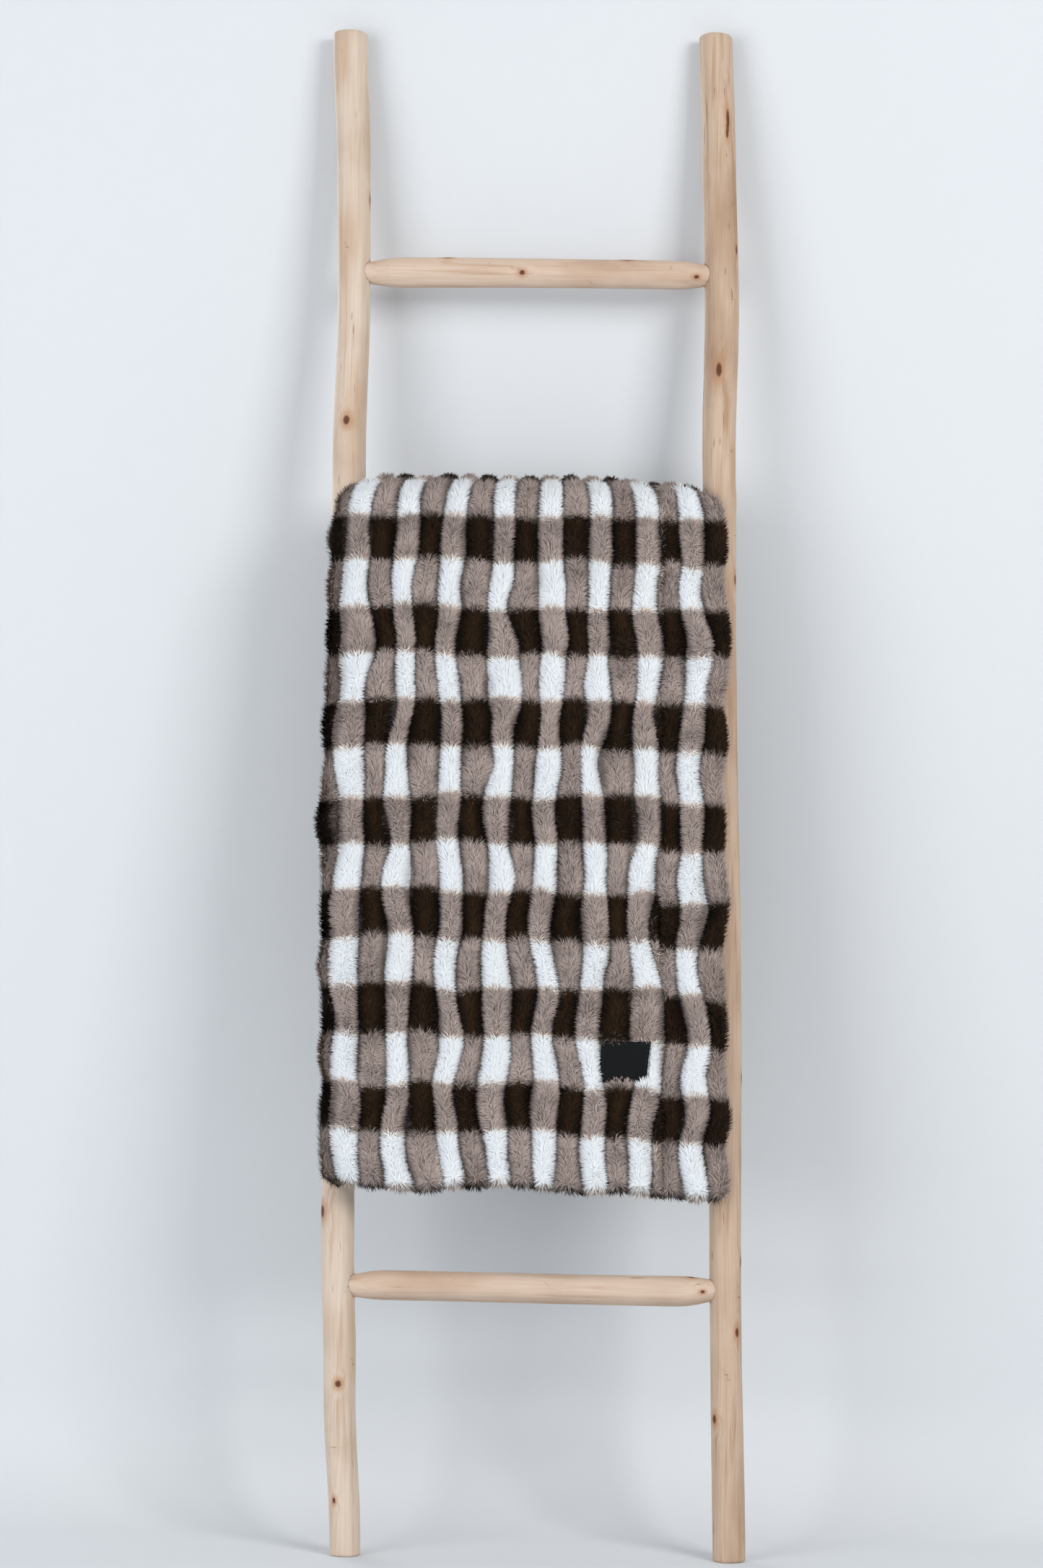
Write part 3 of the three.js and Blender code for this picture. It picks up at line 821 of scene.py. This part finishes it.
def hangPoint(u, s, lift):
    # s runs along the throw from the crest, forward positive; lift is off the cloth on its pile side
    u, s, lift = np.broadcast_arrays(*[np.asarray(value, float) for value in (u, s, lift)])
    x, w, acrossPile, outPile = foldLine(u)
    front = s >= 0
    side = np.where(front, 1.0, -1.0)
    length = np.abs(s)
    total = np.where(front, throw["frontLength"], throw["backLength"])
    lower = ease(total - 150, total, length)
    corner = ease(150, 218, np.abs(x)) * np.where(front, throw["frontCorner"], throw["backCorner"])
    hem = throw["hemWave"] * ripple(x / 70, 0.5 + w / 60, 7) * ease(-200, -130, x)
    hem = hem + throw["hemRipple"] * ripple(x / 28, 0.2 + w / 30, 8)
    innerShort = np.where(w < topLayer - 6, throw["innerShort"], 0.0)
    hem = hem + innerShort * ease(150, 110, x) * ease(-217, -205, x)
    length = length - lower * (corner + hem)
    length = length + throw["rowWander"] * ripple(u / 46, s / 105, 9) * ease(20, 90, length)
    arc = np.where(front, frontArc, backArc)
    kept = ease(120, 170, x) * ease(150, 800, length) * ease(8, 17, w) * front
    slip = (topLayer - w) * throw["press"] * arc
    length = length - slip * ease(0, 90, length) * (1 - kept)
    arcRadius = throw["rungClear"] + throw["press"] * w
    turned = np.minimum(length / arcRadius, arc)
    down = length - turned * arcRadius
    gap = throw["press"] + (1 - throw["press"]) * ease(0, 60, down)
    gap = gap + 0.06 * ease(300, 780, down)
    stand = throw["rungClear"] + (throw["hang"] - throw["rungClear"]) * ease(0, 25, down) * front
    billow = throw["billow"] * ripple(x / 120, s / 170, 5) * ease(40, 140, down)
    middleRadius = stand + gap * w + np.maximum(billow, -1.0)
    radius = middleRadius + outPile * lift
    angle = math.pi / 2 + side * turned
    outY, outZ = np.cos(angle), np.sin(angle)
    downY, downZ = -np.sin(angle) * side, np.cos(angle) * side
    forward = middleRadius * np.cos(math.pi / 2 + frontArc - angle)
    opened = np.sqrt(1 - (1 - np.clip((length - 5) / 60, 0, 1)) ** 2) * ease(18, 26, forward)
    frontWidth = throw["saddleWidth"] + (1 - throw["saddleWidth"]) * opened
    frontWidth = frontWidth + 0.014 * np.sin(math.pi * np.clip(down / 780, 0, 1)) ** 1.5
    backWidth = throw["saddleWidth"] - (throw["saddleWidth"] - throw["backWidth"]) * ease(0, 50, down)
    width = np.where(front, frontWidth, backWidth)
    frontSway = -2.0 * ease(60, 380, down) + 8.0 * ease(380, 800, down)
    sway = np.where(front, frontSway, 2.5 * ease(0, 50, down))
    stray = throw["stray"] * ripple(u / 58, s / 66, 6) + throw["strayFine"] * ripple(u / 27, s / 46, 17)
    stray = stray * np.where(outPile > 0.9, 1.0, 0.3) * ease(40, 110, down)
    edgeStray = throw["edgeStray"] * ripple(3.3 + np.sign(x), s / 48, 12) * ease(40, 110, down) * front
    edgeStray = edgeStray * np.sign(x) * ease(120, 218, np.abs(x))
    worldX = throw["middle"] + width * x + sway + stray + edgeStray + acrossPile * lift
    worldY = rungMiddle[1] + radius * outY + down * downY
    worldZ = rungMiddle[2] + radius * outZ + down * downZ
    return np.stack([worldX, worldY, worldZ], -1)


def rowCount(s):
    # the row over the crest is drawn forward
    return (s - pile["firstRow"] - pile["crestShift"] * ease(60, 12, np.abs(s))) / pile["row"]


def ribCount(u, s):
    wander = 0.15 * ripple(u / 45, s / 70, 1) + 0.06 * ripple(u / 22, s / 32, 2)
    return (u + pile["ribShift"]) / pile["rib"] + wander


def hiddenShare(u, s):
    # 1 where the pile is free to stand, less where layers press on each other
    x = foldLine(u)[0]
    down = np.abs(s)
    showing = ease(148, 168, x)
    inner = 0.4 + 0.6 * showing
    belowRungs = np.where(s > 0, ease(600, 700, s), ease(100, 160, -s))
    back = 0.3 + 0.1 * belowRungs
    byLayer = np.select([u < folds[1], u < folds[2], u < folds[3]], [1.0, back, 0.9], inner)
    isBack = (u > folds[1]) & (u < folds[2])
    return byLayer * np.where(isBack, 0.5 + 0.5 * ease(20, 60, down), 0.92 + 0.08 * ease(0, 70, down))


labelLow, labelHigh = [np.array(corner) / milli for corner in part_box("label")]
labelMiddle = (labelLow + labelHigh) / 2


def labelPress(u, s):
    # where the label holds the pile down
    place = hangPoint(u, s, 0.0)
    halfWidth, halfHeight = (labelHigh - labelLow)[[0, 2]] / 2
    outX = np.abs(place[..., 0] - labelMiddle[0]) - halfWidth
    outZ = np.abs(place[..., 2] - labelMiddle[2]) - halfHeight
    return ease(7, -4, outX) * ease(7, -4, outZ) * (u < folds[0]) * (s > 0)


def puffLift(u, s, press=0.0):
    count = ribCount(u, s)
    across = 2 * (count - np.floor(count)) - 1
    bulge = (1 - np.abs(across) ** 2.2) ** 0.8
    crease = ease(0.34, 0.7, ripple(np.floor(count) * 1.7, s / 60, 13)) * np.exp(-(across / 0.3) ** 2)
    swell = (1 + 0.22 * ripple(count * 0.7, s / 34, 3)) * (1 - 0.22 * crease)
    rows = rowCount(s)
    pinch = 1 - 0.2 * (0.5 + 0.5 * np.cos(2 * math.pi * rows)) * (0.6 + ripple(count * 0.9, s / 50, 18))
    edges = ease(-0.5, 6, u) * ease(-0.5, 6, throw["width"] - u)
    ends = ease(-0.5, 7, throw["frontLength"] - s) * ease(-0.5, 7, throw["backLength"] + s)
    height = pile["puff"] * hiddenShare(u, s) * (1 - 0.8 * press)
    return throw["thickness"] / 2 + height * bulge * swell * pinch * edges * ends


def surfaceFrame(u, s):
    # a point on the puffed surface with its unit directions: across, along and outward
    press = labelPress(u, s)
    here = hangPoint(u, s, puffLift(u, s, press))
    step = 0.6
    across = hangPoint(u + step, s, puffLift(u + step, s, press)) - here
    along = hangPoint(u, s + step, puffLift(u, s + step, press)) - here
    across /= np.linalg.norm(across, axis=-1, keepdims=True) + 1e-9
    along /= np.linalg.norm(along, axis=-1, keepdims=True) + 1e-9
    normal = np.cross(across, along)
    normal /= np.linalg.norm(normal, axis=-1, keepdims=True) + 1e-9
    return here, across, along, normal


def clothColumns():
    fine = [
        (0.0, folds[0], 2.45),
        (folds[0], folds[1], 2.4),
        (folds[1], folds[2], 9.0),
        (folds[2], folds[3], 2.0),
        (folds[3], folds[3] + 62, 2.5),
        (folds[3] + 62, throw["width"], 14.0),
    ]
    parts = []
    for low, high, step in fine:
        parts.append(np.linspace(low, high, max(2, round((high - low) / step)) + 1)[:-1])
    return np.concatenate(parts + [[throw["width"]]])


def makeCloth(name, start, end, step):
    columns = clothColumns()
    rows = np.linspace(start, end, round(abs(end - start) / step) + 1)
    s, u = np.meshgrid(rows, columns, indexing="ij")
    outer = hangPoint(u, s, puffLift(u, s, labelPress(u, s)))
    inner = hangPoint(u, s, -throw["thickness"] / 2)
    count = s.size
    size = s.shape
    points = np.concatenate([outer.reshape(-1, 3), inner.reshape(-1, 3)])
    faces = gridFaces(*size)
    back = gridFaces(*size, first=count)[:, ::-1]
    rim = rimFaces(gridLoop(*size), gridLoop(*size, first=count))
    cloth = buildMesh(name, points, np.concatenate([faces, back, rim]), backingMaterial)
    cells = np.stack([(u + pile["ribShift"]) / pile["rib"], rowCount(s)], -1)
    cells = cells.reshape(-1, 2)
    addMap(cloth, "cloth", np.concatenate([cells, cells]))
    inside = np.repeat([[0.0, 0.0], [0.0, 1.0]], count, axis=0)
    addMap(cloth, "fibre", inside)
    # crown drives the painted groove shade of the backing
    ribs = ribCount(u, s)
    crown = 1 - np.abs(2 * (ribs - np.floor(ribs)) - 1)
    depth = np.stack([crown, 0 * crown + 1], -1).reshape(-1, 2)
    addMap(cloth, "depth", np.concatenate([depth, depth]))
    return cloth


def makePile(name, areas, total, seed, flat=0.0):
    # areas: (from, to across, from, to along, density); one thin blade for each strand
    rng = np.random.default_rng(seed)
    weights = np.array([(b - a) * (d - c) * e for a, b, c, d, e in areas])
    counts = np.round(total * weights / weights.sum()).astype(int)
    u = np.concatenate([rng.uniform(a, b, n) for (a, b, c, d, e), n in zip(areas, counts)])
    s = np.concatenate([rng.uniform(c, d, n) for (a, b, c, d, e), n in zip(areas, counts)])
    underLabel = labelPress(u, s) > 0.93
    u, s = u[~underLabel], s[~underLabel]
    total = len(u)
    root, across, along, normal = surfaceFrame(u, s)
    share = hiddenShare(u, s)
    count = ribCount(u, s)
    sideways = 2 * (count - np.floor(count)) - 1
    fringe = ease(13, 3, throw["frontLength"] - s) * 1.3 - ease(13, 3, throw["backLength"] + s)
    drift = 0.55 * ripple(count * 1.1, s / 34, 4) + 0.12 * ripple(u / 9, s / 9, 14)
    sway = 1.3 * sideways * (1 - 0.55 * sideways ** 2) + rng.normal(0, 0.2, total)
    sway = sway - 1.4 * ease(8, 1, u) + 1.4 * ease(8, 1, throw["width"] - u)
    press = labelPress(u, s)
    overLabel = 6.0 * press * (1 - press) * (root[:, 2] > labelMiddle[2])
    fall = drift - 0.42 + fringe + overLabel + rng.normal(0, 0.2, total)
    tangent = across * sway[:, None] + along * fall[:, None]
    strength = np.clip(np.hypot(sway, fall), 0.35, 1.0)
    tangent /= np.linalg.norm(tangent, axis=-1, keepdims=True) + 1e-9
    leaning = np.radians(42 + 20 * strength + rng.normal(0, 6, total))
    leaning = np.clip(leaning + flat + 0.45 * (1 - share), 0.2, 1.45)
    direction = normal * np.cos(leaning)[:, None] + tangent * np.sin(leaning)[:, None]
    direction[:, 2] -= 0.1
    direction /= np.linalg.norm(direction, axis=-1, keepdims=True)
    length = pile["strand"] * (0.45 + 0.55 * share) * rng.uniform(0.78, 1.2, total)
    length = length * (1 - 0.55 * np.abs(sideways) ** 3)
    length = length * (1 - 0.25 * press)
    breadth = np.cross(direction, normal)
    breadth /= np.linalg.norm(breadth, axis=-1, keepdims=True) + 1e-9
    half = breadth * (pile["rootWidth"] / 2 * rng.uniform(0.75, 1.25, total))[:, None]
    foot = root - normal * 0.9
    tip = foot + direction * length[:, None]
    points = np.stack([foot - half, foot + half, tip], 1).reshape(-1, 3)
    strands = buildMesh(name, points, np.arange(total * 3).reshape(-1, 3), furMaterial)
    facing = normal * 1.0 + direction * 0.3
    facing /= np.linalg.norm(facing, axis=-1, keepdims=True)
    strands.data.normals_split_custom_set_from_vertices(np.repeat(facing, 3, axis=0))
    column = (u + pile["ribShift"]) / pile["rib"] + 0.07 * ripple(u / 24, s / 38, 15)
    column = column + rng.normal(0, 0.04, total)
    row = rowCount(s) + 0.018 * ripple(u / 20, s / 60, 16) + rng.normal(0, 0.03, total)
    addMap(strands, "cloth", np.repeat(np.stack([column, row], -1), 3, axis=0))
    clump = 0.24 * ripple(count * 1.3, s / 19, 19) + 0.14 * ripple(u / 5, s / 11, 20)
    chance = np.clip(0.5 + clump + rng.normal(0, 0.2, total), 0, 1)
    sideRun = (direction * across).sum(-1) * length / pile["rib"] * 2
    lengthways = np.tile([0.0, 0.0, 1.0], total)
    addMap(strands, "fibre", np.stack([lengthways, np.repeat(chance, 3)], -1))
    # crown and tipCrown drive the painted groove shade and painted crown highlight of plushFur;
    # paintedShadeFade fades the painted groove shade in places
    paintedShadeFade = 0.3 * np.maximum(ripple(np.round(count) * 1.9, s / 27, 22), 0)
    crown = 1 - np.abs(sideways) + paintedShadeFade
    tipCrown = np.abs(1 - np.abs(sideways + sideRun)) + paintedShadeFade
    crowns = np.stack([crown, crown, tipCrown], 1).reshape(-1)
    addMap(strands, "depth", np.stack([crowns, np.repeat(share, 3)], -1))
    flatU = (u - u.min()) / (u.max() - u.min() + 1e-9)
    flatS = (s - s.min()) / (s.max() - s.min() + 1e-9)
    wedge = np.array([(-0.0004, 0.0), (0.0004, 0.0), (0.0, 0.0014)])
    spots = np.stack([flatU, flatS], -1)[:, None, :] * 0.99 + 0.004 + wedge[None]
    addMap(strands, "OFBake", spots.reshape(-1, 2))
    return strands


frontEnd = throw["frontLength"]
backEnd = -throw["backLength"]
frontCloth = makeCloth("throwFront", 0.0, frontEnd, 4.9)
backCloth = makeCloth("throwBack", backEnd, 0.0, 4.9)
print("cloth ready:", len(frontCloth.data.polygons), "and", len(backCloth.data.polygons), "faces")

visibleTurn = folds[1] + 12
bendLimit = 130.0            # strands rooted further down than this only follow the front drop
density = 1.0
strip = (folds[2] - 14, folds[3] + 64)                 # beside the top layer, on the right
hidden = (folds[1] + 12, folds[2] - 14)                # under the top layer
frontHalves = [
    makePile("pileFrontTop", [(0, visibleTurn, 0, bendLimit, 1.0)], int(48000 * density), 101),
    makePile("pileStripTop", [(*strip, 0, bendLimit, 1.0)], int(12000 * density), 102),
    makePile("pileUnderTop", [(folds[1], folds[2], 0, bendLimit, 1.0)], int(4000 * density), 103),
]
frontLower = [
    makePile("pileFrontUpper", [(0, visibleTurn, bendLimit, 490, 1.0)], int(136000 * density), 104),
    makePile("pileFrontLower", [(0, visibleTurn, 490, frontEnd, 1.0)], int(138000 * density), 105),
    makePile("pileStrip", [(*strip, bendLimit, frontEnd, 1.0)], int(66000 * density), 106),
    makePile(
        "pileUnder",
        [(*hidden, bendLimit, 620, 0.25), (*hidden, 620, frontEnd, 1.0)],
        int(40000 * density),
        107,
        flat=0.25,
    ),
    makePile(
        "pileHem", [(strip[1], throw["width"], frontEnd - 42, frontEnd, 1.0)], int(12000 * density), 111
    ),
]
backHalves = [
    makePile("pileBack", [(0, visibleTurn, backEnd, 0, 1.0)], int(150000 * density), 108),
    makePile("pileBackStrip", [(*strip, backEnd, 0, 1.0)], int(34000 * density), 109),
    makePile("pileBackInner", [(*hidden, backEnd, -60, 1.0)], int(24000 * density), 110),
    makePile(
        "pileBackHem", [(strip[1], throw["width"], backEnd, backEnd + 42, 1.0)], int(9000 * density), 112
    ),
]
strandCount = sum(len(piece.data.polygons) for piece in frontHalves + frontLower + backHalves)
print("pile ready:", strandCount, "strands")


# a woven patch with its border stitched down
labelSize = dict(
    rows=34,
    columns=46,
    thickness=1.1,
    curve=1.6,               # how far its edges sink into the pile
    slant=2.4,
    stitch=4.2,
    stitchGap=1.3,
    threadRadius=0.42,
    inset=3.0,
)


def labelPoint(a, b, lift):
    # a and b run from -1 to 1 across and up the label
    halfWidth = (labelHigh[0] - labelLow[0]) / 2
    halfHeight = (labelHigh[2] - labelLow[2]) / 2 / math.cos(lean)
    sink = labelSize["curve"] * (np.abs(a) ** 3 + 0.5 * np.abs(b) ** 3)
    sink = sink - 0.7 * ripple(a * 1.6, b * 1.4, 21)
    pinched = 1 - 0.02 * (1 - b ** 2) * np.abs(a)
    x = labelMiddle[0] + a * halfWidth * pinched + labelSize["slant"] * b
    level = b * halfHeight * (1 - 0.025 * (1 - a ** 2))
    base = np.array((0.0, labelMiddle[1], labelMiddle[2]))
    offset = (lift - sink + 0.2)[..., None] * outward
    return base + offset + level[..., None] * alongPole + np.stack([x, 0 * x, 0 * x], -1)


def makeLabel():
    a, b = np.meshgrid(
        np.linspace(-1, 1, labelSize["columns"]), np.linspace(1, -1, labelSize["rows"]), indexing="xy"
    )
    half = labelSize["thickness"] / 2
    worn = half - 0.35 * np.maximum(ease(0.93, 1, np.abs(a)), ease(0.91, 1, np.abs(b)))
    outer = labelPoint(a, b, worn)
    inner = labelPoint(a, b, -half + 0 * a)
    count = a.size
    size = a.shape
    faces = gridFaces(*size)[:, ::-1]
    back = gridFaces(*size, first=count)
    rim = rimFaces(gridLoop(*size), gridLoop(*size, first=count))[:, ::-1]
    points = np.concatenate([outer.reshape(-1, 3), inner.reshape(-1, 3)])
    label = buildMesh("wovenLabel", points, np.concatenate([faces, back, rim]), labelMaterial)
    threads = np.stack([a * 75, b * 56], -1).reshape(-1, 2)
    addMap(label, "weave", np.concatenate([threads, threads]))
    return label


def makeStitches():
    width = labelHigh[0] - labelLow[0]
    height = (labelHigh[2] - labelLow[2]) / math.cos(lean)
    farA = 1 - 2 * labelSize["inset"] / width
    farB = 1 - 2 * labelSize["inset"] / height
    corners = [(-farA, farB), (farA, farB), (farA, -farB), (-farA, -farB)]
    rows, faces, weave = [], [], []
    sides, rings = 8, 7
    turn = np.arange(sides) / sides * 2 * math.pi
    for index, (a0, b0) in enumerate(corners):
        a1, b1 = corners[(index + 1) % 4]
        run = math.hypot((a1 - a0) * width / 2, (b1 - b0) * height / 2)
        number = round(run / (labelSize["stitch"] + labelSize["stitchGap"]))
        for stitch in range(number):
            margin = labelSize["stitchGap"] / run / 2
            t = np.linspace(stitch / number + margin, (stitch + 1) / number - margin, rings)
            bow = np.sin(np.linspace(0, math.pi, rings))
            radius = labelSize["threadRadius"] * np.sqrt(np.clip(0.12 + bow, 0, 1))
            lift = labelSize["thickness"] / 2 - 0.35 + 0.55 * bow
            spine = labelPoint(a0 + (a1 - a0) * t, b0 + (b1 - b0) * t, lift)
            ahead = (spine[-1] - spine[0]) / np.linalg.norm(spine[-1] - spine[0])
            sideways = np.cross(ahead, outward)
            ring = np.cos(turn)[:, None] * sideways + np.sin(turn)[:, None] * outward
            tube = spine[:, None, :] + radius[:, None, None] * ring[None]
            first = sum(len(part) for part in rows)
            rows.append(tube.reshape(-1, 3))
            faces.append(gridFaces(rings, sides, closed=True, first=first))
            weave.append(np.stack(np.meshgrid(turn * 1.2, t * run * 1.5), -1).reshape(-1, 2))
            lastRing = first + (rings - 1) * sides
            for k in (1, 2):             # closes each end with two flat faces
                cap = np.array([k, (k + 1) % sides, (sides - 1 - k) % sides, (sides - k) % sides])
                faces.append(first + cap[None])
                faces.append(lastRing + cap[None, ::-1])
    stitches = buildMesh("labelStitches", np.concatenate(rows), np.concatenate(faces), threadMaterial)
    addMap(stitches, "weave", np.concatenate(weave))
    return stitches


label = makeLabel()
stitches = makeStitches()
sewn = ((label, "label", "label_cloth"), (stitches, "label_stitching", "label_thread"))
for piece, nodeName, slotName in sewn:
    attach(piece, "front_drop")
    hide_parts(nodeName)
print("label ready")

for piece in (frontCloth, *frontHalves):
    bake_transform(piece)
for piece in (backCloth, *backHalves):
    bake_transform(piece)
for piece in frontLower:
    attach(piece, "front_drop")
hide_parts("throw_saddle", "throw_front_inner", "throw_front_outer")
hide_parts("throw_back_drop")


room = dict(
    wall=0.1612,
    coveRadius=0.16,
    halfWidth=6.0,
    height=4.2,
    depth=7.0,
    wallTint=tint(213, 216, 219),
    mottleTint=tint(196, 202, 208),
    air=(0.86, 0.89, 0.93, 1),
    airStrength=0.56,
)


def makeBackdrop():
    turn = np.linspace(0, math.pi / 2, 17)
    edge = room["wall"] - room["coveRadius"]
    y = np.concatenate([[-room["depth"]], edge + room["coveRadius"] * np.sin(turn), [room["wall"]]])
    z = np.concatenate([[0.0], room["coveRadius"] * (1 - np.cos(turn)), [room["height"]]])
    x = np.array([-room["halfWidth"], room["halfWidth"]])
    gridY, gridX = np.meshgrid(y, x, indexing="ij")
    gridZ = np.meshgrid(z, x, indexing="ij")[0]
    material, tree, shader = startMaterial("paintedCove")
    where = put(tree, "ShaderNodeTexCoord").outputs["Object"]
    mottle = noise(tree, where, 3.0, 3.0)
    grit = noise(tree, where, 220.0, 2.0)
    patches = spread(tree, mottle, 0.3, 0.7, 0.0, 0.06)
    plug(tree, shader.inputs["Base Color"], mixColour(tree, patches, room["wallTint"], room["mottleTint"]))
    shader.inputs["Roughness"].default_value = 0.85
    shader.inputs["Specular IOR Level"].default_value = 0.1
    addRelief(tree, shader, grit, 0.12, 0.001)
    clear = put(tree, "ShaderNodeBsdfTransparent")
    facing = put(tree, "ShaderNodeNewGeometry").outputs["Backfacing"]
    shadow = put(tree, "ShaderNodeLightPath").outputs["Is Shadow Ray"]
    seeThrough = calc(tree, "MAXIMUM", facing, shadow)
    both = put(tree, "ShaderNodeMixShader", {0: seeThrough, 1: shader.outputs[0], 2: clear.outputs[0]})
    plug(tree, tree.nodes["Material Output"].inputs["Surface"], both.outputs[0])
    points = np.stack([gridX, gridY, gridZ], -1).reshape(-1, 3) / milli
    cove = buildMesh("cove", points, gridFaces(*gridX.shape), material)


def aimLight(name, place, target, size, power, colour):
    lamp = bpy.data.lights.new(name, "AREA")
    lamp.shape = "RECTANGLE"
    lamp.size, lamp.size_y = size
    lamp.energy = power
    lamp.color = colour
    holder = bpy.data.objects.new(name, lamp)
    holder.location = place
    holder.rotation_euler = (Vector(target) - Vector(place)).to_track_quat("-Z", "Y").to_euler()
    bpy.context.scene.collection.objects.link(holder)


makeBackdrop()
aimLight("keyWindow", (2.6, -3.2, 2.7), (0, 0, 0.85), (1.7, 1.7), 98, (1.0, 0.985, 0.965))
aimLight("fillPanel", (-3.0, -3.6, 1.4), (0, 0, 0.75), (2.5, 2.5), 95, (0.96, 0.98, 1.0))
aimLight("rearPanel", (-2.4, 3.6, 2.0), (0, 0, 0.9), (2.5, 2.5), 55, (1.0, 1.0, 1.0))
world = bpy.data.worlds.new("paleRoom")
world.use_nodes = True
world.node_tree.nodes["Background"].inputs["Color"].default_value = room["air"]
world.node_tree.nodes["Background"].inputs["Strength"].default_value = room["airStrength"]
bpy.context.scene.world = world
bpy.context.scene.view_settings.view_transform = "Standard"

viewpoint = dict(
    place=(0.128, -5.6, 0.8955),
    yaw=math.radians(1.46),
    roll=math.radians(0.67),
    sensor=36.0,
    lens=108.3,
)


def makeCamera():
    data = bpy.data.cameras.new("studioCamera")
    data.sensor_width = viewpoint["sensor"]
    data.lens = viewpoint["lens"]
    camera = bpy.data.objects.new("studioCamera", data)
    camera.location = viewpoint["place"]
    camera.rotation_mode = "QUATERNION"
    aim = Vector((-math.sin(viewpoint["yaw"]), math.cos(viewpoint["yaw"]), 0))
    level = aim.to_track_quat("-Z", "Y").to_matrix()
    camera.rotation_quaternion = (level @ Matrix.Rotation(viewpoint["roll"], 3, "Z")).to_quaternion()
    bpy.context.scene.collection.objects.link(camera)
    bpy.context.scene.camera = camera


makeCamera()
